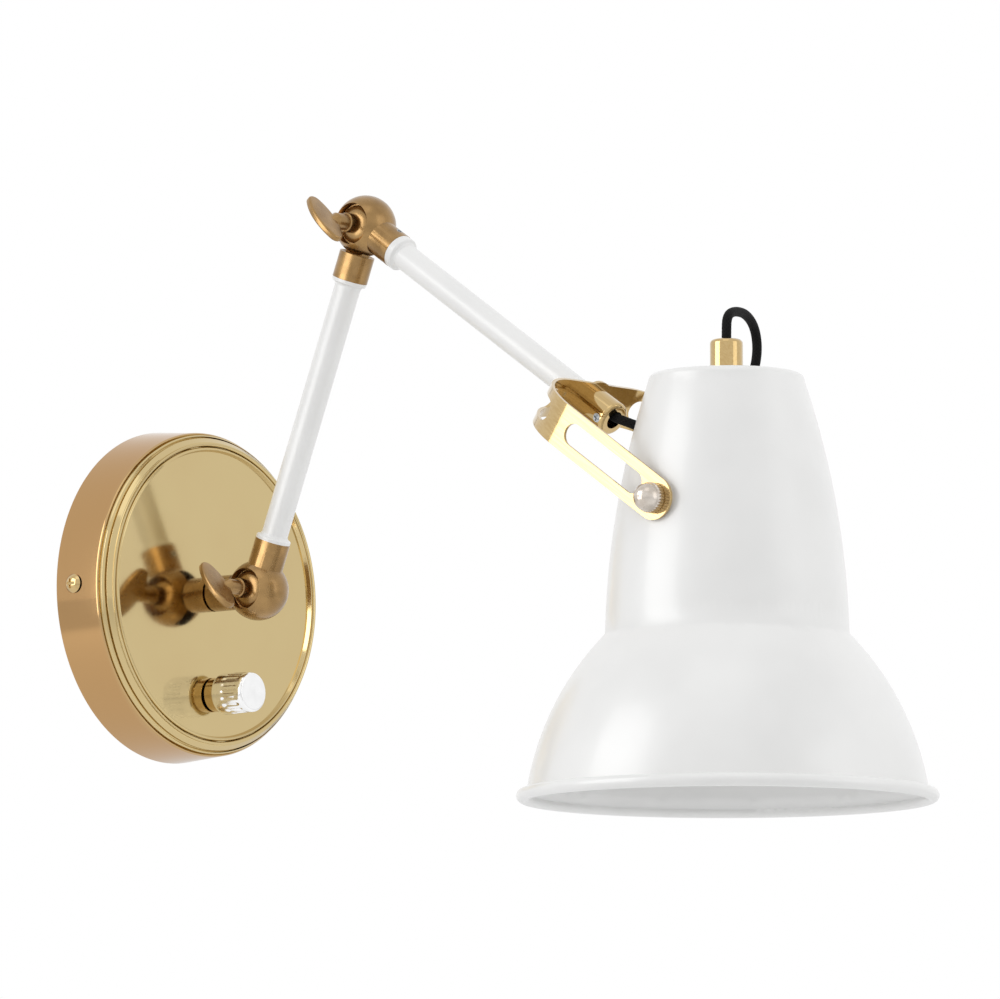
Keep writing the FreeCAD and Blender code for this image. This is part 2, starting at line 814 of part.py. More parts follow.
def oval_loop(half_length, half_width, tip, centre):
    """Oval of two wide arcs and two tip arcs that run smoothly into each other."""
    reach = half_length - tip
    wide = (reach * reach + half_width * half_width - tip * tip) / (half_width * 2 - tip * 2)
    across = reach / (wide - tip)
    up = (wide - half_width) / (wide - tip)
    side, top = reach + tip * across, tip * up
    return [
        (side, centre + top, wide, "left"), (-side, centre + top, tip, "left"),
        (-half_length, centre, tip, "left"), (-side, centre - top, wide, "left"),
        (side, centre - top, tip, "left"), (half_length, centre, tip, "left"),
    ]


def make_wing_screw(label, centre):
    """Thumbscrew with an oval leaf, a stepped neck and a shank through the knuckle."""
    neck = S["wingNeckDiameter"] / 2
    collar = S["wingCollarDiameter"] / 2
    collar_top = dome_top + S["wingCollarHeight"]
    edge = S["wingEdge"]
    shank_end = other_side(ball_radius, shank_radius)
    body = new_body(label)
    pad(body, S["wingThickness"], plane="XZ_Plane", both_ways=True,
        loops=[oval_loop(S["wingLength"] / 2, S["wingWidth"] / 2, S["wingTip"], S["wingCentre"])])
    doc.recompute()
    leaf = body.Tip
    flat_edges = [
        f"Edge{number}" for number, line in enumerate(leaf.Shape.Edges, start=1) if line.BoundBox.YLength < edge.value / 2
    ]
    rounding = body.newObject("PartDesign::Fillet", "Fillet")
    rounding.Base = (leaf, flat_edges)
    rounding.Radius = edge.value
    rounding.setExpression("Radius", edge.formula)
    revolve(body, [
        (zero, -shank_end), (shank_radius, -shank_end), (shank_radius, dome_top), (collar, dome_top),
        (collar, collar_top - edge / 2), (collar - edge / 2, collar_top), (neck, collar_top),
        (neck, S["wingNeckEnd"] - neck), (neck / 3, S["wingNeckEnd"]), (zero, S["wingNeckEnd"]),
    ])
    leaf_turn = turned((0, 0, 1), S["wingTurn"].value)
    return keep(body, placed(centre, to_left.multiply(leaf_turn)))


def make_set_screw(label, radius, length, placement):
    """Headless screw whose outer end has a cross recess. It points along its own Z axis."""
    body = new_body(label)
    revolve(body, tube_corners(zero, radius, -length, zero))
    half_width, half_length = S["keyWidth"] / 2, radius - S["keyRim"]
    for x, y in ((half_width, half_length), (half_length, half_width)):
        pocket(body, S["keyDepth"], loops=[box_corners(-x, -y, x, y)])
    return keep(body, placement)


def knuckle_set_screw(label, frame):
    """The small screw in a knuckle's socket that bears on the tube."""
    height = S["socketReach"] - S["knuckleScrewFromEnd"]
    spot = frame.multVec(Vector(0, socket_radius.value, height.value))
    outward = frame.Rotation.multiply(turned((1, 0, 0), -90))
    length = socket_radius - tube_radius
    make_set_screw(label, S["knuckleScrewDiameter"] / 2, length, placed(spot, outward))


# ---------------------------------------------------------------- stem and arms

def make_stem():
    """Short stem in front of the plate with the nipple, washer and nut that let it turn."""
    stem_length = S["wallToBall"] - S["plateFaceDepth"] - S["stemPlateGap"]
    towards_wall = placed(lower_ball, turned((1, 0, 0), -90))
    make_cup("stem", towards_wall, stem_length, nipple_radius, S["socketBoreDepth"])
    stem_back = S["plateFaceDepth"] + S["stemPlateGap"]
    washer_top = plate_inside - S["stemPlateGap"]
    nut_top = washer_top - S["springWasherThickness"]
    nut_low = nut_top - S["lockNutHeight"]
    bore = S["nippleBore"] / 2
    keep(ring("stem_nipple", bore, nipple_radius, nut_low - S["lockNutHeight"],
              stem_back + S["tubeInsertion"]), wall_frame)
    keep(ring("stem_spring_washer", nipple_radius, S["springWasherDiameter"] / 2, nut_top, washer_top), wall_frame)
    make_nut("stem_lock_nut", S["lockNutWidth"], nipple_radius, nut_low, S["lockNutHeight"], wall_frame)


def make_nut(label, width, hole, low, height, placement):
    body = new_body(label)
    reach = width / (2 * math.cos(math.radians(30)))
    half = width / 2
    corners = [
        (reach, zero), (reach / 2, half), (-reach / 2, half),
        (-reach, zero), (-reach / 2, -half), (reach / 2, -half),
    ]
    pad(body, height, loops=[corners], circles=[(zero, zero, hole)], offset=low)
    return keep(body, placement)


def make_collar(label, start, height, frame, downward=False):
    """White end collar of a tube: a round flange that flares in to the tube in a hollow curve."""
    outer, edge, flare = S["collarDiameter"] / 2, S["collarEdge"], S["collarFlare"]
    lip = tube_radius + S["collarLip"]
    hollow = flare * 0.3
    top = height + flare
    body = new_body(label)
    revolve(body, [
        (tube_radius, zero), (outer, zero), (outer, height - edge), (outer - edge, height),
        (lip + flare, height), (lip + hollow, height + hollow), (lip, top), (tube_radius, top),
    ])
    base = frame.multVec(Vector(0, 0, start.value))
    rotation = frame.Rotation.multiply(flipped) if downward else frame.Rotation
    return keep(body, placed(base, rotation))


def make_lower_arm():
    make_knuckle("lower_knuckle", lower_frame, 1)
    make_joint_washers("lower", lower_frame)
    tube_start = S["socketReach"] - S["tubeInsertion"]
    cup_start = S["lowerLength"] - S["cupLength"]
    tube_end = cup_start + S["tubeInsertion"]
    keep(ring("lower_arm_tube", tube_bore, tube_radius, tube_start, tube_end), lower_frame)
    keep(rod("lower_arm_cable", S["cableDiameter"] / 2, tube_start, tube_end), lower_frame)
    make_collar("lower_arm_bottom_collar", S["socketReach"], S["lowerCollarHeight"], lower_frame)
    make_collar("lower_arm_top_collar", cup_start, S["lowerCollarHeight"], lower_frame, downward=True)
    cup_frame = placed(elbow, lower_tilt.multiply(flipped))
    make_cup("elbow_cup", cup_frame, S["cupLength"], tube_radius, S["socketBoreDepth"])
    knuckle_set_screw("lower_set_screw", lower_frame)


fork_seat = S["upperLength"] - S["forkDepth"]
fork_back = fork_seat - S["forkThickness"]
socket_end = fork_seat + S["endSocketLength"]


def make_upper_arm():
    make_knuckle("elbow_knuckle", upper_frame, -1)
    make_joint_washers("elbow", upper_frame)
    tube_start = S["socketReach"] - S["tubeInsertion"]
    keep(ring("upper_arm_tube", tube_bore, tube_radius, tube_start, fork_back), upper_frame)
    cable_end = socket_end - S["endSocketBoreDepth"] + S["runningGap"]
    keep(rod("upper_arm_cable", S["cableDiameter"] / 2, tube_start, cable_end), upper_frame)
    make_collar("upper_arm_collar", S["socketReach"], S["upperCollarHeight"], upper_frame)
    knuckle_set_screw("elbow_set_screw", upper_frame)
    keep(ring("fork_nipple", S["forkNippleBore"] / 2, tube_bore, fork_back - S["forkNippleInTube"],
              fork_seat + S["forkNippleGrip"]), upper_frame)
    make_end_socket()


def make_end_socket():
    outer, bore = S["endSocketDiameter"] / 2, S["endSocketBore"] / 2
    edge = S["endSocketEdge"]
    floor = socket_end - S["endSocketBoreDepth"]
    screw_height = socket_end - S["setScrewFromEnd"]
    body = new_body("arm_end_socket")
    revolve(body, [
        (tube_bore, fork_seat), (outer, fork_seat), (outer, socket_end - edge, edge, "left"),
        (outer - edge, socket_end), (bore, socket_end), (bore, floor), (tube_bore, floor),
    ])
    pocket(body, outer * 1.1, plane="YZ_Plane", circles=[(zero, screw_height, S["setScrewDiameter"] / 2)])
    frame = placed(elbow, upper_tilt.multiply(turned((0, 0, 1), S["setScrewTurn"].value)))
    keep(body, frame)
    spot = frame.multVec(Vector(-outer.value, 0, screw_height.value))
    make_set_screw("arm_end_set_screw", S["setScrewDiameter"] / 2, S["setScrewLength"],
                   placed(spot, frame.Rotation.multiply(to_left)))


# ---------------------------------------------------------------- shade outline

def arc_centre(start, end, radius):
    """Centre of an arc that bulges away from the shade's axis."""
    start, end = Vector(*start, 0), Vector(*end, 0)
    chord = end - start
    height = math.sqrt(radius ** 2 - (chord.Length / 2) ** 2)
    inward = Vector(chord.y, -chord.x, 0).normalize()
    return start + chord / 2 + inward * height


def drawn_in(point, centre, radius, wall):
    """A point moved inwards through the wall, towards its arc's centre."""
    return centre + (Vector(*point, 0) - centre) * ((radius - wall) / radius)


def circles_meet(first, first_radius, second, second_radius, near):
    """The crossing of two circles that lies closest to a given point."""
    between = second - first
    distance = between.Length
    along = (first_radius ** 2 - second_radius ** 2 + distance ** 2) / (2 * distance)
    across = math.sqrt(first_radius ** 2 - along ** 2)
    way = Vector(between).normalize()
    side = Vector(-way.y, way.x, 0)
    options = [first + way * along + side * across, first + way * along - side * across]
    return min(options, key=lambda option: (option - near).Length)


shade_wall = S["shadeWall"].value
neck_top = (S["shadeTopRadius"].value, S["shadeTop"].value - S["shadeTopCorner"].value)
waist = (S["shadeWaistRadius"].value, -S["shadeWaistDrop"].value)
bell_end = (S["shadeBellRadius"].value, -S["shadeBellDrop"].value)
neck_curve, bell_curve = S["shadeNeckCurve"].value, S["shadeBellCurve"].value
neck_centre = arc_centre(neck_top, waist, neck_curve)
bell_centre = arc_centre(waist, bell_end, bell_curve)


def neck_radius(height):
    """Outer radius of the shade's neck at a height above the clamp axis."""
    return neck_centre.x + math.sqrt(neck_curve ** 2 - (height - neck_centre.y) ** 2)


clamp_shank = S["clampShankDiameter"] / 2
clamp_hole = clamp_shank + S["runningGap"]
fork_mouth = as_size(neck_radius(-S["forkWidth"].value / 2) + S["forkClearance"].value)


def make_fork():
    """Strap bent to a U: a flat base with an eye on the tube's end, two round corners, straight slotted legs."""
    mouth, thickness, radius = fork_mouth, S["forkThickness"], S["forkBendRadius"]
    outside, outer = mouth + thickness, radius + thickness
    bend_x, bend_z = mouth - radius, fork_seat + radius
    half = S["forkWidth"] / 2
    tip = S["upperLength"]
    end = tip + half
    body = new_body("fork")
    pad(body, S["forkWidth"], plane="XZ_Plane", both_ways=True, loops=[[
        (-bend_x, fork_back), (bend_x, fork_back, outer, "left"), (outside, bend_z), (outside, end),
        (mouth, end), (mouth, bend_z, radius, "right"), (bend_x, fork_seat),
        (-bend_x, fork_seat, radius, "right"), (-mouth, bend_z), (-mouth, end),
        (-outside, end), (-outside, bend_z, outer, "left"),
    ]])
    pad(body, thickness, offset=fork_back, circles=[(zero, zero, S["forkEyeDiameter"] / 2)])
    across = outside * 2.1
    pocket(body, across, plane="YZ_Plane", both_ways=True, loops=[[
        (-half, tip, half, "right"), (zero, tip + half, half, "right"), (half, tip),
        (half * 1.2, tip), (half * 1.2, tip + half * 1.2), (half * -1.2, tip + half * 1.2), (half * -1.2, tip),
    ]])
    slot_travel = S["forkSlotNear"] - S["forkSlotFar"] - S["forkSlotWidth"]
    slot_middle = tip - (S["forkSlotNear"] + S["forkSlotFar"]) / 2
    pocket(body, across, plane="YZ_Plane", both_ways=True,
           loops=[slot_loop(zero, slot_middle, slot_travel, S["forkSlotWidth"], along_x=False)])
    pocket(body, across, plane="YZ_Plane", both_ways=True, circles=[(zero, tip, clamp_hole)])
    slot = S["forkSlotWidth"] / 2
    split = outer * math.sqrt(0.5)
    split_x, split_z = bend_x + split, bend_z - split
    rise_end = fork_back + S["bendSlotRise"] - slot
    pocket(body, across, plane="YZ_Plane", both_ways=True, loops=[[
        (-slot, split_z), (slot, split_z), (slot, rise_end, slot, "left"),
        (zero, rise_end + slot, slot, "left"), (-slot, rise_end),
    ]])
    for side in (1, -1):
        start = S["bendSlotStart"] + slot
        corners = [
            (start, slot, slot, "left"), (start - slot, zero, slot, "left"), (start, -slot),
            (split_x + thickness, -slot), (split_x + thickness, slot),
        ]
        pocket(body, radius, upward=True, offset=fork_back - thickness,
               loops=[[(c[0] * side, c[1] * side) + tuple(c[2:]) for c in corners]])
    pocket(body, thickness * 3, upward=True, offset=fork_back - thickness, circles=[(zero, zero, tube_bore)])
    return keep(body, upper_frame)


def make_shade():
    """Spun bell: flat top, gently curved neck, waist, round bell and a rolled rim."""
    top, corner, wall = S["shadeTop"], S["shadeTopCorner"], S["shadeWall"]
    hole = S["shadeNippleDiameter"] / 2
    inner_end = drawn_in(bell_end, bell_centre, bell_curve, shade_wall)
    inner_top = drawn_in(neck_top, neck_centre, neck_curve, shade_wall)
    inner_waist = circles_meet(neck_centre, neck_curve - shade_wall, bell_centre, bell_curve - shade_wall,
                               Vector(*waist, 0))
    flat_edge = S["shadeTopRadius"] - corner
    body = new_body("shade")
    revolve(body, [
        (hole, top), (flat_edge, top, corner, "right"),
        (S["shadeTopRadius"], top - corner, S["shadeNeckCurve"], "right"),
        (S["shadeWaistRadius"], -S["shadeWaistDrop"], S["shadeBellCurve"], "right"),
        (S["shadeBellRadius"], -S["shadeBellDrop"]),
        (inner_end.x, inner_end.y, S["shadeBellCurve"] - wall, "left"),
        (inner_waist.x, inner_waist.y, S["shadeNeckCurve"] - wall, "left"),
        (inner_top.x, inner_top.y, corner - wall / 2, "left"),
        (flat_edge, top - wall), (hole, top - wall),
    ])
    sketch = new_sketch(body, "XZ_Plane")
    draw_circle(sketch, S["shadeBellRadius"] + S["rimOverhang"], -S["shadeBellDrop"] - S["rimBelow"],
                S["rimBead"] / 2)
    bead = body.newObject("PartDesign::Revolution", "RolledRim")
    bead.Profile = sketch
    bead.ReferenceAxis = (sketch, ["V_Axis"])
    bead.Angle = full_turn
    pocket(body, S["shadeWaistRadius"] * 3, plane="YZ_Plane", both_ways=True,
           circles=[(zero, zero, S["clampNutNeck"] / 2)])
    return keep(body, shade_frame)


# ---------------------------------------------------------------- what the shade carries

def make_clamp_fastenings():
    """Knurled screws through the fork's ends, with spacers outside and flanged nuts inside the wall."""
    left = placed(clamp_axis, to_left)
    right = placed(clamp_axis, to_right)
    nut_neck, flange = S["clampNutNeck"] / 2, S["clampNutDiameter"] / 2
    spacer = S["spacerDiameter"] / 2
    spacer_start = as_size(neck_radius(-spacer.value) + S["spacerGap"].value)
    across = math.sqrt(neck_radius(flange.value) ** 2 - flange.value ** 2)
    flange_top = as_size(across - shade_wall - S["spacerGap"].value)
    nut_low = flange_top - S["clampNutDepth"] + S["shadeWall"]
    spacers, nuts = [], []
    for side, frame in (("left", left), ("right", right)):
        washer = ring(f"spacer_{side}", clamp_hole, spacer, spacer_start, fork_mouth - S["clampHeadGap"])
        spacers.append((washer, frame))
        nut = new_body(f"clamp_nut_{side}")
        revolve(nut, [
            (clamp_hole, nut_low), (nut_neck, nut_low), (nut_neck, flange_top - S["clampNutFlange"]),
            (flange, flange_top - S["clampNutFlange"]), (flange, flange_top),
            (nut_neck, flange_top), (nut_neck, spacer_start), (clamp_hole, spacer_start),
        ])
        nuts.append((nut, frame))
        make_clamp_screw(f"shade_screw_{side}", nut_low, frame)
    keep_group("shade_spacers", spacers)
    keep_group("shade_clamp_nuts", nuts)


def make_clamp_screw(label, low, placement):
    knob = S["clampKnobDiameter"] / 2
    seat = fork_mouth + S["forkThickness"] + S["clampHeadGap"]
    knurl_top = seat + S["clampKnurlLength"]
    edge = S["knurlDepth"]
    rim = knob - edge
    height = S["clampDomeHeight"]
    dome = (rim * rim + height * height) / (height * 2)
    body = new_body(label)
    revolve(body, [
        (zero, low), (clamp_shank, low), (clamp_shank, seat), (knob - edge, seat), (knob, seat + edge),
        (knob, knurl_top - edge), (rim, knurl_top, dome, "left"), (zero, knurl_top + height),
    ])
    depth = S["knurlDepth"]
    bite = [(zero, knob - depth), (depth * 1.6, knob + depth), (depth * -1.6, knob + depth)]
    cut = pocket(body, S["clampKnurlLength"], upward=True, offset=seat, loops=[bite])
    repeat_round(body, cut, S["knurlCount"])
    return keep(body, placement)


nipple_outer = S["shadeNippleDiameter"] / 2
nut_bottom = S["shadeTop"] - S["shadeWall"] - S["shadeLockNutHeight"]
cap_bottom = nut_bottom - S["holderCapHeight"]
holder_bottom = cap_bottom - S["holderLength"]


def make_gland_and_holder():
    top = S["shadeTop"]
    gland, bore, edge = S["glandDiameter"] / 2, S["glandBore"] / 2, S["glandEdge"]
    gland_top = top + S["glandHeight"]
    thread_top = top + S["glandThread"]
    body = new_body("cord_gland")
    revolve(body, [
        (nipple_outer, top), (gland, top), (gland, gland_top - edge, edge, "left"), (gland - edge, gland_top),
        (bore, gland_top), (bore, thread_top), (nipple_outer, thread_top),
    ])
    keep(body, shade_frame)
    keep(ring("shade_nipple", S["shadeNippleBore"] / 2, nipple_outer, top - S["shadeNippleDrop"], thread_top),
         shade_frame)
    make_nut("shade_lock_nut", S["shadeLockNutWidth"], nipple_outer, nut_bottom, S["shadeLockNutHeight"], shade_frame)

    wall = S["holderWall"]
    cap, holder = S["holderCapDiameter"] / 2, S["holderDiameter"] / 2
    body = new_body("lamp_holder_cap")
    revolve(body, [
        (nipple_outer, nut_bottom), (nipple_outer, nut_bottom - wall), (cap - wall * 2, nut_bottom - wall),
        (cap - wall, nut_bottom - wall * 2), (cap - wall, cap_bottom), (cap, cap_bottom),
        (cap, nut_bottom - wall * 1.5, wall * 1.5, "left"), (cap - wall * 1.5, nut_bottom),
    ])
    keep(body, shade_frame)

    hole = S["holderBore"] / 2
    floor = holder_bottom + S["lampCapLength"]
    body = new_body("lamp_holder")
    revolve(body, [
        (zero, cap_bottom + wall), (zero, floor), (hole, floor), (hole, holder_bottom), (holder, holder_bottom),
        (holder, cap_bottom), (cap - wall, cap_bottom), (cap - wall, cap_bottom + wall),
    ])
    keep(body, shade_frame)


def make_lamp():
    """Small round lamp with a screw cap, as the holder takes it."""
    cap, neck, globe = S["lampCapDiameter"] / 2, S["lampNeckDiameter"] / 2, S["lampGlassDiameter"] / 2
    seam = holder_bottom - S["lampCapProud"]
    cap_top = holder_bottom + S["lampCapLength"] - S["screwHoleClearance"]
    body = new_body("lamp_cap")
    revolve(body, [
        (zero, seam), (cap, seam), (cap, cap_top - cap / 2), (cap / 3, cap_top), (zero, cap_top),
    ])
    keep(body, shade_frame)
    bottom = seam - S["lampGlassLength"]
    middle = bottom + globe
    wall = S["lampGlassWall"]
    shoulder = globe * 0.8
    flank = other_side(globe, shoulder)
    inner_flank = other_side(globe - wall, shoulder - wall)
    body = new_body("lamp_glass")
    revolve(body, [
        (zero, bottom, globe, "left"), (globe, middle, globe, "left"), (shoulder, middle + flank),
        (neck, seam), (neck - wall, seam), (shoulder - wall, middle + inner_flank, globe - wall, "right"),
        (globe - wall, middle, globe - wall, "right"), (zero, bottom + wall),
    ])
    keep(body, shade_frame)


# ---------------------------------------------------------------- cord

def make_cord():
    start = upper_frame.multVec(Vector(0, 0, socket_end.value - S["cordStart"].value))
    points = [start] + [Vector(*point) for point in cord_points]
    radius = S["cordDiameter"].value / 2
    path, arcs = rounded_path(points)
    ring_wire = Part.Wire(Part.Circle(points[0], points[1] - points[0], radius).toShape())
    tube = path.makePipeShell([ring_wire], True, False)
    length = path.Length
    expected = math.pi * radius ** 2 * length
    print("cord length", round(length, 1), "radii", [round(arc, 1) for arc in arcs])
    print("cord volume over section times length", round(tube.Volume / expected, 4))
    body = doc.addObject("Part::Feature", "Body_shade_cord")
    body.Label = "shade_cord"
    body.Shape = tube
    nodes["shade_cord"] = body


def rounded_path(points):
    """Straight runs joined by tangent arcs, each as large as its two runs allow."""
    edges, radii = [], []
    here = points[0]
    for before, corner, after in zip(points, points[1:], points[2:]):
        into, out = corner - before, after - corner
        half_turn = into.getAngle(out) / 2
        run = min(into.Length, out.Length)
        cut = 0.45 * run
        radius = cut / math.tan(half_turn)
        first = corner - Vector(into).normalize() * cut
        last = corner + Vector(out).normalize() * cut
        bisector = (Vector(out).normalize() - Vector(into).normalize()).normalize()
        centre = corner + bisector * (radius / math.cos(half_turn))
        middle = centre + (corner - centre).normalize() * radius
        edges.append(Part.LineSegment(here, first).toShape())
        edges.append(Part.Arc(first, middle, last).toShape())
        radii.append(radius)
        here = last
    edges.append(Part.LineSegment(here, points[-1]).toShape())
    return Part.Wire(edges), radii


# Points of the route after the start, chosen along the cord in the order that it runs.
cord_points = [
    (0.0, -207.9, 49.2),
    (0.6, -212.8, 47.3),
    (4.2, -217.6, 45.0),
    (11.2, -220.9, 44.0),
    (19.0, -223.9, 45.0),
    (26.6, -228.8, 48.2),
    (31.6, -235.2, 54.2),
    (34.0, -241.0, 62.3),
    (34.2, -243.9, 71.8),
    (31.6, -245.0, 80.3),
    (21.8, -248.8, 84.2),
    (9.8, -253.1, 83.8),
    (0.9, -256.5, 81.0),
    (0.0, -256.92, 74.6),
    (0.0, -256.92, 62.8),
]


# ---------------------------------------------------------------- build, check and write

make_backplate()
make_bracket()
make_side_screws()
make_terminals()
make_dimmer()
make_stem()
make_lower_arm()
make_wing_screw("lower_wing_screw", lower_ball)
make_upper_arm()
make_wing_screw("elbow_wing_screw", elbow)
make_fork()
make_shade()
make_clamp_fastenings()
make_gland_and_holder()
make_lamp()
make_cord()
doc.recompute()

for item in doc.Objects:
    if "Invalid" in item.State or "Error" in item.State:
        raise RuntimeError(f"{item.Label} ({item.Name}) failed: {item.State}")

os.makedirs("parts", exist_ok=True)
for name, node in nodes.items():
    shape = node.Shape
    if shape.isNull() or not shape.isValid() or shape.Volume <= 0:
        raise RuntimeError(f"{name} has no sound solid")
    shape.exportStep(f"parts/{name}.step")
print(len(nodes), "sub-parts written")
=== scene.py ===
import json
import math

import bmesh
import bpy
from mathutils import Matrix, Vector


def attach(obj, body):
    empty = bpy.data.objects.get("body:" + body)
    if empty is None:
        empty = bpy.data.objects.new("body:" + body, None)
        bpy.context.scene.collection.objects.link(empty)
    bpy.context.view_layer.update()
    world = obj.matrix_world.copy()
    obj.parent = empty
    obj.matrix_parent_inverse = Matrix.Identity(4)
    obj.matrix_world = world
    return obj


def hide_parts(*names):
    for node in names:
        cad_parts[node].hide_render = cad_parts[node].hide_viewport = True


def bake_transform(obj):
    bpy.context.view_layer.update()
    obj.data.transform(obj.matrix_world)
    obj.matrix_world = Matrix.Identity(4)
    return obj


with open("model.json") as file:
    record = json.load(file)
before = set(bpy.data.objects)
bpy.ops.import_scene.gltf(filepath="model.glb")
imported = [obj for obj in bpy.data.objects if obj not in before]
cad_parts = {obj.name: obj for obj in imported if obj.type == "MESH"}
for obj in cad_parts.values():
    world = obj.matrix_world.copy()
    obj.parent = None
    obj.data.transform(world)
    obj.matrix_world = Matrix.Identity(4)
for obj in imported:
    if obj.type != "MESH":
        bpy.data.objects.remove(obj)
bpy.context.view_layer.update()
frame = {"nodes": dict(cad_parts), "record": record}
nodes = frame["nodes"]
print("frame loaded:", len(nodes), "nodes")

# the photograph was matched from 3 m away with a long lens; places are in metres
cameraSizes = {
    "place": (-2.29156, -2.06158, -0.31668),
    "right": (0.63944, -0.76884, 0.0),
    "back": (-0.763854, -0.635291, -0.113723),
    "lens": 307.99,
    "sensor": 36.0,
    "farthest": 40,
}


def makeCamera(sizes):
    right = Vector(sizes["right"]).normalized()
    back = Vector(sizes["back"]).normalized()
    up = back.cross(right)
    camera = bpy.data.objects.new("camera", bpy.data.cameras.new("camera"))
    turned = Matrix((right, up, back)).transposed().to_4x4()
    camera.matrix_world = Matrix.Translation(sizes["place"]) @ turned
    camera.data.lens = sizes["lens"]
    camera.data.sensor_width = sizes["sensor"]
    camera.data.clip_end = sizes["farthest"]
    bpy.context.scene.collection.objects.link(camera)
    bpy.context.scene.camera = camera


makeCamera(cameraSizes)


def hexColour(text):
    values = [int(text[i:i + 2], 16) / 255 for i in (1, 3, 5)]
    return tuple(v / 12.92 if v <= 0.04045 else ((v + 0.055) / 1.055) ** 2.4 for v in values) + (1.0,)


def addNode(tree, kind, settings=None, inputs=None, links=None):
    # settings are the node's own fields, inputs its plain values, links its inputs' sources
    node = tree.nodes.new(kind)
    for name, value in (settings or {}).items():
        setattr(node, name, value)
    for name, value in (inputs or {}).items():
        node.inputs[name].default_value = value
    for name, source in (links or {}).items():
        tree.links.new(source, node.inputs[name])
    return node


def startMaterial(name, shader):
    material = bpy.data.materials.new(name)
    material.use_nodes = True
    tree = material.node_tree
    tree.nodes.clear()
    surface = addNode(tree, "ShaderNodeBsdfPrincipled", inputs=shader)
    addNode(tree, "ShaderNodeOutputMaterial", links={"Surface": surface.outputs["BSDF"]})
    place = addNode(tree, "ShaderNodeTexCoord").outputs["Object"]
    return material, tree, surface, place


def grain(tree, place, size, detail=2.0, stretch=(1, 1, 1)):
    # noise whose patches are about size millimetres across
    mapping = addNode(tree, "ShaderNodeMapping", inputs={"Scale": stretch}, links={"Vector": place})
    noise = addNode(tree, "ShaderNodeTexNoise", inputs={"Scale": 1000 / size, "Detail": detail},
                    links={"Vector": mapping.outputs["Vector"]})
    return noise.outputs["Fac"]


def blendColours(tree, surface, factor, first, second, low=0.35, high=0.65):
    ramp = addNode(tree, "ShaderNodeValToRGB", links={"Fac": factor})
    ramp.color_ramp.elements[0].position = low
    ramp.color_ramp.elements[0].color = hexColour(first)
    ramp.color_ramp.elements[1].position = high
    ramp.color_ramp.elements[1].color = hexColour(second)
    tree.links.new(ramp.outputs["Color"], surface.inputs["Base Color"])


def varyRoughness(tree, surface, factor, low, high):
    # most of the noise lies between 0.3 and 0.7
    span = addNode(tree, "ShaderNodeMapRange", links={"Value": factor},
                   inputs={"From Min": 0.3, "From Max": 0.7, "To Min": low, "To Max": high})
    tree.links.new(span.outputs["Result"], surface.inputs["Roughness"])


def addBump(tree, surface, height, depth):
    # depth is the relief in millimetres
    bump = addNode(tree, "ShaderNodeBump", inputs={"Strength": 1.0, "Distance": depth / 1000},
                   links={"Height": height})
    tree.links.new(bump.outputs["Normal"], surface.inputs["Normal"])


def whiteEnamel():
    # stoved white paint: a soft gloss over a faint orange peel of about 1.5 mm
    material, tree, surface, place = startMaterial("whiteStoveEnamel", {
        "IOR": 1.5, "Coat Weight": 0.25, "Coat Roughness": 0.12})
    blendColours(tree, surface, grain(tree, place, 30), "#f0f0ef", "#f4f4f3")
    varyRoughness(tree, surface, grain(tree, place, 12), 0.30, 0.38)
    addBump(tree, surface, grain(tree, place, 1.5), 0.004)
    return material


def addMaths(tree, operation, *sources):
    node = addNode(tree, "ShaderNodeMath", {"operation": operation}, links=dict(enumerate(sources)))
    return node.outputs[0]


def satinBrass():
    # spun and lacquered brass: pale on the face, with the side painted darker and browner as a painted
    # reflection of the shaded wall, and faint rings 0.6 mm apart
    material, tree, surface, place = startMaterial("satinLacqueredBrass", {
        "Metallic": 1.0, "Coat Weight": 0.15, "Coat Roughness": 0.2})
    parts = addNode(tree, "ShaderNodeSeparateXYZ", links={"Vector": place}).outputs
    squareX = addMaths(tree, "MULTIPLY", parts["X"], parts["X"])
    squareZ = addMaths(tree, "MULTIPLY", parts["Z"], parts["Z"])
    radius = addMaths(tree, "SQRT", addMaths(tree, "ADD", squareX, squareZ))
    ringPlace = addNode(tree, "ShaderNodeCombineXYZ", links={"X": radius, "Y": parts["Y"]})
    rings = grain(tree, ringPlace.outputs["Vector"], 0.6, 3.0)
    # the painted shade on the side fades in between 57.5 and 58.8 mm from the middle
    sideShade = addNode(tree, "ShaderNodeMapRange", inputs={"From Min": 0.0575, "From Max": 0.0588},
                   links={"Value": radius})
    grainAndSideShade = addNode(tree, "ShaderNodeMath", {"operation": "MULTIPLY_ADD"}, {1: 0.25},
                     {0: grain(tree, place, 25), 2: sideShade.outputs["Result"]})
    # random grain on the face, plus the painted reflection of the shaded wall on the side
    blendColours(tree, surface, grainAndSideShade.outputs[0], "#cbb685", "#b69061", 0.1, 1.15)
    varyRoughness(tree, surface, rings, 0.08, 0.12)
    addBump(tree, surface, rings, 0.0006)
    return material


def agedBrass():
    # cast and tumbled brass, darkened with age: brown-gold with a fine sand grain of 0.5 mm
    material, tree, surface, place = startMaterial("agedCastBrass", {
        "Metallic": 1.0, "Coat Weight": 0.4, "Coat Roughness": 0.15})
    blendColours(tree, surface, grain(tree, place, 6, 4.0), "#8f6f43", "#a38151")
    varyRoughness(tree, surface, grain(tree, place, 2.5), 0.24, 0.34)
    addBump(tree, surface, grain(tree, place, 0.5), 0.006)
    return material


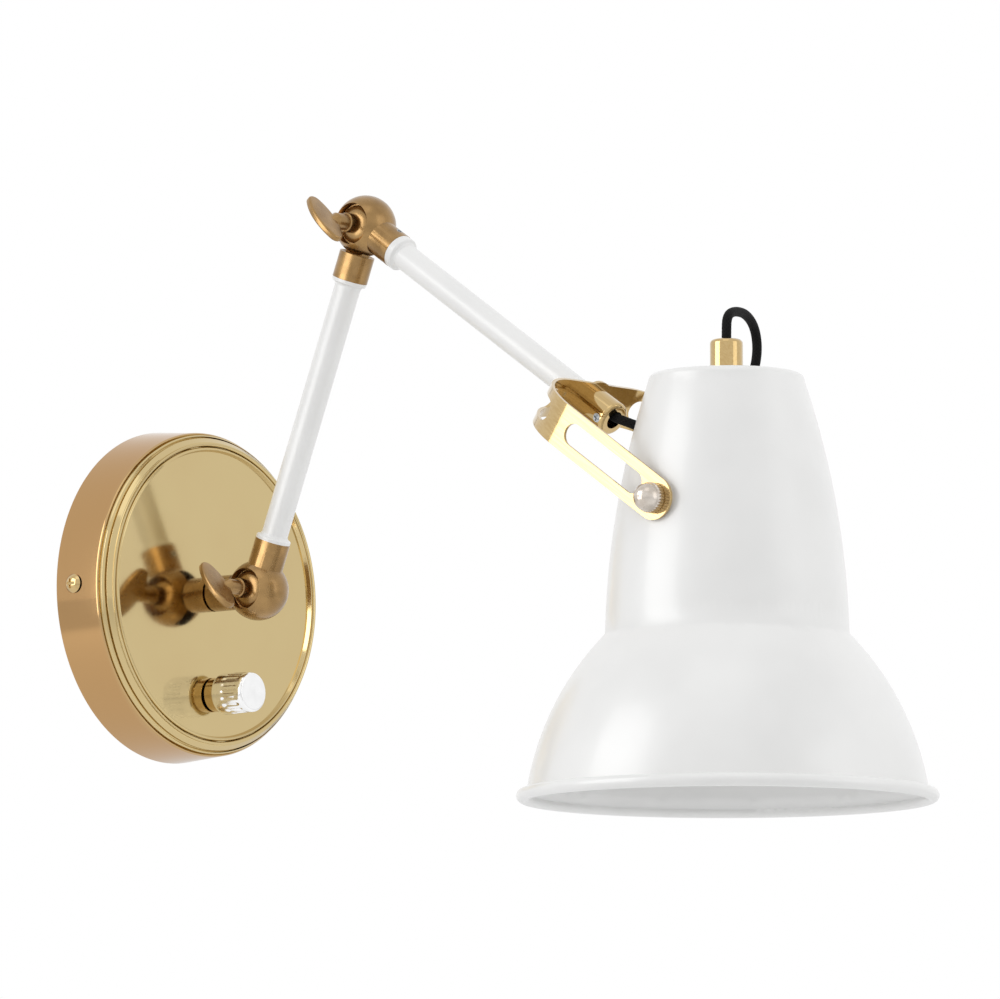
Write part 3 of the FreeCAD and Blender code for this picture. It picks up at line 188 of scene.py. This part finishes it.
def polishedBrass():
    # rolled brass strip, buffed and lacquered: clear gold with faint lines along the upper arm
    material, tree, surface, place = startMaterial("buffedBrass", {
        "Metallic": 1.0, "Coat Weight": 0.9, "Coat Roughness": 0.06})
    armTurn = (math.radians(-34.7), 0, 0)
    turned = addNode(tree, "ShaderNodeMapping", inputs={"Rotation": armTurn}, links={"Vector": place})
    lines = grain(tree, turned.outputs["Vector"], 0.7, 3.0, (1, 0.04, 1))
    blendColours(tree, surface, lines, "#bd9f66", "#c6aa74")
    varyRoughness(tree, surface, lines, 0.09, 0.13)
    addBump(tree, surface, lines, 0.0004)
    return material


def plainBrass():
    # machined brass threads and nuts inside: duller, with fine tool marks
    material, tree, surface, place = startMaterial("machinedBrass", {"Metallic": 1.0})
    blendColours(tree, surface, grain(tree, place, 3), "#b3924f", "#c2a362")
    varyRoughness(tree, surface, grain(tree, place, 0.8), 0.25, 0.35)
    addBump(tree, surface, grain(tree, place, 0.4), 0.003)
    return material


def nickelPlate():
    # bright nickel on turned steel: warm grey, nearly a mirror
    material, tree, surface, place = startMaterial("brightNickelPlate", {"Metallic": 1.0})
    blendColours(tree, surface, grain(tree, place, 4), "#c3b9ae", "#d6cec5")
    varyRoughness(tree, surface, grain(tree, place, 1.5), 0.18, 0.28)
    addBump(tree, surface, grain(tree, place, 0.35), 0.002)
    return material


def chromePlate():
    # chrome on a pressed knob: cold and almost clear, with slight handling haze
    material, tree, surface, place = startMaterial("chromePlate", {"Metallic": 1.0})
    blendColours(tree, surface, grain(tree, place, 5), "#efefef", "#f6f6f6")
    varyRoughness(tree, surface, grain(tree, place, 2.5), 0.10, 0.20)
    addBump(tree, surface, grain(tree, place, 0.6), 0.001)
    return material


def zincSteel():
    # zinc-plated steel: blue-grey, spangled and fairly dull
    material, tree, surface, place = startMaterial("zincPlatedSteel", {"Metallic": 1.0})
    blendColours(tree, surface, grain(tree, place, 3, 4.0), "#a4a8ac", "#bfc3c6")
    varyRoughness(tree, surface, grain(tree, place, 2), 0.30, 0.45)
    addBump(tree, surface, grain(tree, place, 0.5), 0.003)
    return material


def whiteNylon():
    # moulded nylon: milky white and matt
    material, tree, surface, place = startMaterial("mouldedNylon", {
        "IOR": 1.53, "Subsurface Weight": 0.1, "Subsurface Scale": 0.001})
    blendColours(tree, surface, grain(tree, place, 5), "#e2e2dc", "#ebebe6")
    varyRoughness(tree, surface, grain(tree, place, 1.5), 0.45, 0.55)
    addBump(tree, surface, grain(tree, place, 0.4), 0.004)
    return material


def blackPhenolic():
    # moulded phenolic resin: black with a low gloss
    material, tree, surface, place = startMaterial("blackPhenolic", {"IOR": 1.6})
    blendColours(tree, surface, grain(tree, place, 8), "#151515", "#1d1c1b")
    varyRoughness(tree, surface, grain(tree, place, 2), 0.28, 0.42)
    addBump(tree, surface, grain(tree, place, 0.7), 0.004)
    return material


def cableSheath():
    # soft PVC sheath: dark grey and matt
    material, tree, surface, place = startMaterial("pvcSheath", {"IOR": 1.53})
    blendColours(tree, surface, grain(tree, place, 6), "#2b2b2b", "#343434")
    varyRoughness(tree, surface, grain(tree, place, 2), 0.5, 0.6)
    addBump(tree, surface, grain(tree, place, 0.5), 0.004)
    return material


def braidedCotton():
    # woven cotton sleeve: black threads 0.45 mm wide with a dull sheen, painted darker in the hollows between
    # the threads as painted shade
    material, tree, surface, place = startMaterial("blackBraidedCotton", {
        "IOR": 1.5, "Sheen Weight": 0.03, "Sheen Roughness": 0.45, "Specular IOR Level": 0.1})
    threads = addNode(tree, "ShaderNodeAttribute", {"attribute_name": "weaveShade"})
    # painted shade: the hollows of the weave are darker and the thread crowns lighter
    blendColours(tree, surface, threads.outputs["Fac"], "#0b0b0b", "#1a1919", 0.1, 0.9)
    varyRoughness(tree, surface, grain(tree, place, 0.5), 0.7, 0.85)
    addBump(tree, surface, grain(tree, place, 0.25), 0.02)
    return material


def frostedGlass():
    # etched lamp glass: white and see-through only as a blur
    material, tree, surface, place = startMaterial("frostedLampGlass", {
        "IOR": 1.5, "Transmission Weight": 0.75, "Coat Weight": 0.2})
    blendColours(tree, surface, grain(tree, place, 10), "#f4f4f0", "#fafaf6")
    varyRoughness(tree, surface, grain(tree, place, 3), 0.35, 0.45)
    addBump(tree, surface, grain(tree, place, 0.6), 0.004)
    return material


def rolledAluminium():
    # rolled aluminium of the lamp's screw cap: pale and lightly scuffed
    material, tree, surface, place = startMaterial("rolledAluminium", {"Metallic": 1.0})
    blendColours(tree, surface, grain(tree, place, 3), "#c4c5c7", "#d2d3d5")
    varyRoughness(tree, surface, grain(tree, place, 1), 0.3, 0.4)
    addBump(tree, surface, grain(tree, place, 0.5), 0.003)
    return material


finishes = {
    "satin_brass": satinBrass(),
    "aged_brass": agedBrass(),
    "bright_brass": polishedBrass(),
    "plain_brass": plainBrass(),
    "white_enamel": whiteEnamel(),
    "nickel": nickelPlate(),
    "chrome": chromePlate(),
    "zinc_steel": zincSteel(),
    "white_nylon": whiteNylon(),
    "black_plastic": blackPhenolic(),
    "cable_sheath": cableSheath(),
    "black_fabric": braidedCotton(),
    "lamp_glass": frostedGlass(),
    "lamp_cap": rolledAluminium(),
}
slotOf = {part["node"]: part["material_slot"] for part in frame["record"]["subparts"]}
bodyOf = {name: body for body, names in frame["record"]["behaviour"]["bodies"].items() for name in names}
print("materials made:", len(finishes))


def addPiece(name, mesh, slot, replaced, rides=True):
    piece = bpy.data.objects.new(name, mesh)
    bpy.context.scene.collection.objects.link(piece)
    if not mesh.materials:
        mesh.materials.append(finishes[slot])
    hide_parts(replaced)
    if rides:
        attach(piece, bodyOf[replaced])
    return piece


# meshes are merged within these lengths in metres, and angles in degrees part curves from edges
mergeSizes = {
    "sameCorner": 2e-6, "thinFace": 1e-6, "pole": 1e-8, "samePlane": 0.4, "edge": 32, "turnedEdge": 35,
}
# sharp edges are broken by this much, in millimetres
edgeSizes = {
    "wall_bracket": 0.2, "terminal_block": 0.3, "backplate_side_screws": 0.12, "terminal_screws": 0.08,
    "dimmer_body": 0.4, "dimmer_nut": 0.15, "stem": 0.25, "stem_lock_nut": 0.25,
    "lower_knuckle": 0.25, "elbow_knuckle": 0.25, "elbow_cup": 0.25, "lower_domed_washer": 0.1,
    "elbow_domed_washer": 0.1, "lower_wing_screw": 0.2, "elbow_wing_screw": 0.2, "lower_set_screw": 0.08,
    "elbow_set_screw": 0.08, "fork": 0.15, "arm_end_socket": 0.15, "arm_end_set_screw": 0.08,
    "shade_screw_left": 0.06, "shade_screw_right": 0.06, "shade_spacers": 0.08, "shade_clamp_nuts": 0.15,
    "shade_lock_nut": 0.25, "cord_gland": 0.1, "lamp_holder": 0.3, "lamp_holder_cap": 0.2,
}


def refineNode(name):
    # a merged copy of the solid's mesh with smooth curves and small bevels on its edges
    mesh = nodes[name].data.copy()
    shape = bmesh.new()
    shape.from_mesh(mesh)
    bmesh.ops.remove_doubles(shape, verts=shape.verts, dist=mergeSizes["sameCorner"])
    bmesh.ops.dissolve_degenerate(shape, edges=shape.edges, dist=mergeSizes["thinFace"])
    bmesh.ops.dissolve_limit(shape, angle_limit=math.radians(mergeSizes["samePlane"]),
                             verts=shape.verts, edges=shape.edges)
    shape.to_mesh(mesh)
    shape.free()
    mesh.materials.clear()
    mesh.shade_smooth()
    mesh.set_sharp_from_angle(angle=math.radians(mergeSizes["edge"]))
    piece = addPiece(name + "_finished", mesh, slotOf[name], name)
    width = edgeSizes.get(name, 0)
    if width:
        bevel = piece.modifiers.new("brokenEdge", "BEVEL")
        bevel.width = width / 1000
        bevel.segments = 2
        bevel.limit_method = "ANGLE"
        bevel.angle_limit = math.radians(mergeSizes["edge"])
        bevel.harden_normals = True


# the plate's outline in millimetres: radius, distance from the wall and, at a rounded corner, its radius
plateSizes = {
    "segments": 320,
    "arcSteps": 6,
    "outline": [
        (58.8, 0.0), (60.0, 0.0), (58.5, 18.1, 1.0), (57.3, 18.75, 0.3), (57.0, 19.35, 0.45),
        (56.45, 19.6, 0.3), (56.0, 20.6, 0.6), (55.2, 22.2, 1.3), (53.9, 22.5, 0.5), (53.6, 20.9, 0.15),
        (52.7, 20.9, 0.15), (52.4, 22.35, 0.4), (51.4, 22.3, 0.3), (5.0, 22.3), (5.0, 21.1), (50.5, 21.1),
        (51.6, 19.8), (54.6, 19.8), (56.2, 17.0),
    ],
}


def roundCorners(outline, steps):
    # swaps each corner that has a radius for a short arc
    points = []
    count = len(outline)
    for i, corner in enumerate(outline):
        here = Vector(corner[:2])
        if len(corner) == 2:
            points.append(here)
            continue
        back = (Vector(outline[i - 1][:2]) - here).normalized()
        ahead = (Vector(outline[(i + 1) % count][:2]) - here).normalized()
        half = back.angle(ahead) / 2
        centre = here + (back + ahead).normalized() * (corner[2] / math.sin(half))
        start = here + back * (corner[2] / math.tan(half)) - centre
        end = here + ahead * (corner[2] / math.tan(half)) - centre
        for k in range(steps + 1):
            points.append(centre + start.slerp(end, k / steps))
    return points


def lathe(name, points, segments, toWorld, dent=None):
    # turns the closed outline (radius, height) about the local Z axis; dent gives how far a point moves in
    shape = bmesh.new()
    rings = []
    for k in range(segments):
        turn = 2 * math.pi * k / segments
        ring = []
        for point in points:
            r = point.x - (dent(turn, point) if dent else 0)
            place = toWorld @ Vector((r * math.cos(turn), r * math.sin(turn), point.y))
            ring.append(shape.verts.new(place / 1000))
        rings.append(ring)
    for k, ring in enumerate(rings):
        following = rings[(k + 1) % segments]
        for i in range(len(points)):
            n = (i + 1) % len(points)
            if max(points[i].x, points[n].x) > 0:
                shape.faces.new((ring[i], following[i], following[n], ring[n]))
    bmesh.ops.remove_doubles(shape, verts=shape.verts, dist=mergeSizes["pole"])
    bmesh.ops.recalc_face_normals(shape, faces=shape.faces)
    mesh = bpy.data.meshes.new(name)
    shape.to_mesh(mesh)
    shape.free()
    mesh.shade_smooth()
    mesh.set_sharp_from_angle(angle=math.radians(mergeSizes["turnedEdge"]))
    return mesh


outOfWall = Matrix.Rotation(math.radians(90), 4, "X")
plateOutline = roundCorners(plateSizes["outline"], plateSizes["arcSteps"])
plateMesh = lathe("plateShell", plateOutline, plateSizes["segments"], outOfWall)
addPiece("plateShell", plateMesh, "satin_brass", "backplate")
print("plate turned")

# the dimmer knob in millimetres: a plain skirt, shallow flutes and a rim ring, hollow behind
knobSizes = {
    "centre": -36.5, "radius": 6.65, "base": 27.5, "top": 40.3, "bore": 2.6, "boreDepth": 8.0,
    "backCorner": 0.15, "rimCorner": 0.5, "segments": 288, "arcSteps": 4, "rows": 26, "sameRadius": 0.01,
    "flutes": 18, "fluteDepth": 0.32, "fluteShare": 0.62, "fluteStart": 31.1, "fluteEnd": 38.8, "fade": 1.3,
}


def knobOutline(sizes):
    # the outer wall gets rows of points, so that its flutes can fade out
    base, top, radius, bore = sizes["base"], sizes["top"], sizes["radius"], sizes["bore"]
    corners = [(bore, base), (radius, base, sizes["backCorner"]), (radius, top, sizes["rimCorner"]), (0, top),
               (0, base + sizes["boreDepth"]), (bore, base + sizes["boreDepth"])]
    outline = roundCorners(corners, sizes["arcSteps"])
    wall = radius - sizes["sameRadius"]
    points = []
    for here, there in zip(outline, outline[1:] + outline[:1]):
        points.append(here)
        if here.x > wall and there.x > wall:
            points += [here.lerp(there, k / sizes["rows"]) for k in range(1, sizes["rows"])]
    return points


def fluteDent(turn, point):
    sizes = knobSizes
    if point.x <= sizes["radius"] - sizes["sameRadius"]:
        return 0
    wave = math.cos(turn * sizes["flutes"])
    hollow = max(0.0, (wave - 1 + 2 * sizes["fluteShare"]) / (2 * sizes["fluteShare"])) ** 0.5
    inside = min(point.y - sizes["fluteStart"], sizes["fluteEnd"] - point.y) / sizes["fade"]
    return sizes["fluteDepth"] * hollow * min(1.0, max(0.0, inside))


knobPlace = Matrix.Translation((0, 0, knobSizes["centre"])) @ outOfWall
knobMesh = lathe("dimmerKnobTurned", knobOutline(knobSizes), knobSizes["segments"], knobPlace, fluteDent)
addPiece("dimmerKnobTurned", knobMesh, "chrome", "dimmer_knob")
print("knob turned")

ownPieces = {"shade_cord", "backplate", "dimmer_knob"}
for name in sorted(nodes):
    if name not in ownPieces:
        refineNode(name)
print("solids finished")

# cord route in metres, the same points as the solid's
cordSizes = {
    "diameter": 0.0034,
    "length": 0.1325,
    "sides": 32,
    "ringGap": 0.0003,
    "threads": 8,
    "threadPitch": 0.011,
    "relief": 0.00011,
    "splineSteps": 24,
    "route": [
        (0.0, -0.20241, 0.05180), (0.0, -0.2079, 0.0492), (0.0006, -0.2128, 0.0473),
        (0.0042, -0.2176, 0.0450), (0.0112, -0.2209, 0.0440), (0.0190, -0.2239, 0.0450),
        (0.0266, -0.2288, 0.0482), (0.0316, -0.2352, 0.0542), (0.0340, -0.2410, 0.0623),
        (0.0342, -0.2439, 0.0718), (0.0316, -0.2450, 0.0803), (0.0218, -0.2488, 0.0842),
        (0.0098, -0.2531, 0.0838), (0.0009, -0.2565, 0.0810), (0.0, -0.25692, 0.0746),
        (0.0, -0.25692, 0.0628),
    ],
}


def routeLine(points, steps):
    # the smooth line through the route, read from a spline with no thickness
    curve = bpy.data.curves.new("cordRoute", "CURVE")
    curve.dimensions = "3D"
    curve.resolution_u = steps
    spline = curve.splines.new("NURBS")
    spline.points.add(len(points) - 1)
    for point, place in zip(spline.points, points):
        point.co = (*place, 1)
    spline.order_u = 3
    spline.use_endpoint_u = True
    holder = bpy.data.objects.new("cordRoute", curve)
    bpy.context.scene.collection.objects.link(holder)
    bpy.context.view_layer.update()
    evaluated = holder.evaluated_get(bpy.context.evaluated_depsgraph_get())
    mesh = bpy.data.meshes.new_from_object(evaluated)
    line = [vertex.co.copy() for vertex in mesh.vertices]
    bpy.data.objects.remove(holder)
    bpy.data.meshes.remove(mesh)
    return line


def evenSteps(line, gap):
    # points at equal distances along the line, about one gap apart
    lengths = [0.0]
    for here, there in zip(line, line[1:]):
        lengths.append(lengths[-1] + (there - here).length)
    count = round(lengths[-1] / gap)
    steps, k = [], 0
    for i in range(count + 1):
        wanted = lengths[-1] * i / count
        while k < len(lengths) - 2 and lengths[k + 1] < wanted:
            k += 1
        share = (wanted - lengths[k]) / (lengths[k + 1] - lengths[k])
        steps.append(line[k].lerp(line[k + 1], share))
    return steps, lengths[-1]


def makeCord(sizes):
    line, length = evenSteps(routeLine(sizes["route"], sizes["splineSteps"]), sizes["ringGap"])
    shape = bmesh.new()
    weaveShade = []
    radius, sides = sizes["diameter"] / 2, sizes["sides"]
    side = Vector((1, 0, 0))
    rings = []
    for i, centre in enumerate(line):
        ahead = (line[min(i + 1, len(line) - 1)] - line[max(i - 1, 0)]).normalized()
        side = (side - ahead * side.dot(ahead)).normalized()
        over = ahead.cross(side)
        travelled = length * i / (len(line) - 1)
        ring = []
        for k in range(sides):
            angle = 2 * math.pi * k / sides
            twist = 2 * math.pi * travelled / sizes["threadPitch"]
            rising = math.sin(sizes["threads"] * (angle + twist)) * 0.5 + 0.5
            falling = math.sin(sizes["threads"] * (angle - twist)) * 0.5 + 0.5
            height = max(rising, falling)
            weaveShade.append(height)
            r = radius - sizes["relief"] * (1 - height)
            ring.append(shape.verts.new(centre + (side * math.cos(angle) + over * math.sin(angle)) * r))
        rings.append(ring)
    for lower, upper in zip(rings, rings[1:]):
        for k in range(sides):
            n = (k + 1) % sides
            shape.faces.new((lower[k], lower[n], upper[n], upper[k]))
    shape.faces.new(list(reversed(rings[0])))
    shape.faces.new(rings[-1])
    bmesh.ops.recalc_face_normals(shape, faces=shape.faces)
    mesh = bpy.data.meshes.new("shadeCord")
    shape.to_mesh(mesh)
    shape.free()
    mesh.shade_smooth()
    # each point's thread height is kept to paint shade into the hollows of the weave
    values = mesh.attributes.new("weaveShade", "FLOAT", "POINT")
    values.data.foreach_set("value", weaveShade)
    piece = addPiece("shadeCord", mesh, "black_fabric", "shade_cord", rides=False)
    print("cord length", round(length, 4))
    return piece


cord = makeCord(cordSizes)
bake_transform(cord)


# studio: a floor 1 m below the lamp, white to the eye and to metal, soft boxes and an even world light
studioSizes = {"floorDrop": 1.0, "floorWidth": 30.0, "floorGlow": 0.25, "worldLight": 0.64}
pureWhite = (1, 1, 1, 1)
# large boxes light the object, and smaller ones are what its metal reflects
softBoxes = [
    {"name": "leftBox", "place": (-2.3, 0.9, 0.7), "size": (1.9, 2.6), "power": 19, "mirrored": False},
    {"name": "rightBox", "place": (1.4, -2.2, 0.7), "size": (1.7, 2.4), "power": 15, "mirrored": False},
    {"name": "topBox", "place": (-0.5, -0.9, 2.4), "size": (1.6, 1.6), "power": 9, "mirrored": False},
    {"name": "leftCard", "place": (-0.468, 0.003, 0.12), "size": (0.34, 0.5), "power": 1.5, "mirrored": True},
    {"name": "rightCard", "place": (0.5, -2.6, 0.45), "size": (1.3, 2.0), "power": 6, "mirrored": True},
    {"name": "topCard", "place": (-1.1, -0.9, 2.3), "size": (1.4, 1.4), "power": 3, "mirrored": True},
]


def addSeenFactor(tree):
    # 1 for rays that show the background: the camera's and those that metal and glass send on
    path = addNode(tree, "ShaderNodeLightPath").outputs
    mirrored = addMaths(tree, "MAXIMUM", path["Is Glossy Ray"], path["Is Transmission Ray"])
    return addMaths(tree, "MAXIMUM", path["Is Camera Ray"], mirrored)


def makeStudio(sizes):
    world = bpy.data.worlds.new("studio")
    bpy.context.scene.world = world
    world.use_nodes = True
    tree = world.node_tree
    tree.nodes.clear()
    light = addNode(tree, "ShaderNodeBackground",
                    inputs={"Color": pureWhite, "Strength": sizes["worldLight"]})
    white = addNode(tree, "ShaderNodeBackground", inputs={"Color": pureWhite, "Strength": 1.0})
    seen = addSeenFactor(tree)
    mix = addNode(tree, "ShaderNodeMixShader", links={0: seen, 1: light.outputs[0], 2: white.outputs[0]})
    addNode(tree, "ShaderNodeOutputWorld", links={"Surface": mix.outputs[0]})

    half = sizes["floorWidth"] / 2
    mesh = bpy.data.meshes.new("floor")
    corners = ((-half, -half), (half, -half), (half, half), (-half, half))
    mesh.from_pydata([(x, y, -sizes["floorDrop"]) for x, y in corners], [], [(0, 1, 2, 3)])
    floor = bpy.data.objects.new("floor", mesh)
    bpy.context.scene.collection.objects.link(floor)
    material = bpy.data.materials.new("paleFloor")
    material.use_nodes = True
    tree = material.node_tree
    tree.nodes.clear()
    paint = addNode(tree, "ShaderNodeBsdfDiffuse", inputs={"Color": hexColour("#f2f2f2")})
    glow = addNode(tree, "ShaderNodeEmission", inputs={"Color": pureWhite, "Strength": sizes["floorGlow"]})
    lifted = addNode(tree, "ShaderNodeAddShader", links={0: paint.outputs[0], 1: glow.outputs[0]})
    mix = addNode(tree, "ShaderNodeMixShader",
                  links={0: addSeenFactor(tree), 1: paint.outputs[0], 2: lifted.outputs[0]})
    addNode(tree, "ShaderNodeOutputMaterial", links={"Surface": mix.outputs[0]})
    mesh.materials.append(material)


def addSoftBox(name, place, size, power, mirrored, aim):
    lamp = bpy.data.objects.new(name, bpy.data.lights.new(name, "AREA"))
    lamp.data.shape = "RECTANGLE"
    lamp.data.size, lamp.data.size_y = size
    lamp.data.energy = power
    lamp.visible_camera = False
    lamp.visible_diffuse = not mirrored
    lamp.visible_glossy = mirrored
    lamp.location = place
    lamp.rotation_euler = (Vector(aim) - Vector(place)).to_track_quat("-Z", "Y").to_euler()
    bpy.context.scene.collection.objects.link(lamp)


makeStudio(studioSizes)
middle = (0, -0.15, 0.02)
for softBox in softBoxes:
    addSoftBox(**softBox, aim=middle)
bpy.context.scene.view_settings.view_transform = "Standard"
print("studio ready")
